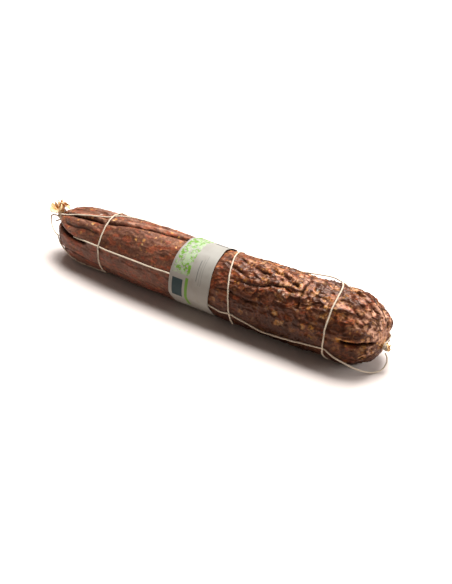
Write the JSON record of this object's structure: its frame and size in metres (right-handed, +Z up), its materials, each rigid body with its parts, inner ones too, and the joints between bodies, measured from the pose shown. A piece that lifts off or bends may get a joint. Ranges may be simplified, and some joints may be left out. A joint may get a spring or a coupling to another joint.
{
  "type": "cured sausage",
  "caption": "Dry-cured sausage in a natural casing, tied at both ends and hooped with butcher's twine, with a plain paper band round its middle.",
  "frame": {"origin": "on the surface that the sausage lies on, under the middle of its paper band", "axes": "+X along the sausage from its ruffled end to its stub end, +Y to its back, +Z up"},
  "size_m": [0.382, 0.0705, 0.0635],
  "materials": {
    "dried_casing": "satin",
    "twine": "matte",
    "paper_band": "satin",
    "bare_casing": "satin"
  },
  "bodies": {
    "root": {"sausage_body": "dried_casing", "paper_band": "paper_band", "strand_top": "twine", "strand_front": "twine", "strand_under": "twine", "strand_back": "twine", "strand_slack_end": "twine", "hoop_left": "twine", "hoop_middle": "twine", "hoop_right": "twine", "knot_left": "twine", "knot_middle": "twine", "knot_right": "twine", "tie_left": "twine", "tie_right": "twine", "casing_tuft": "bare_casing", "casing_stub": "bare_casing"}
  },
  "joints": []
}
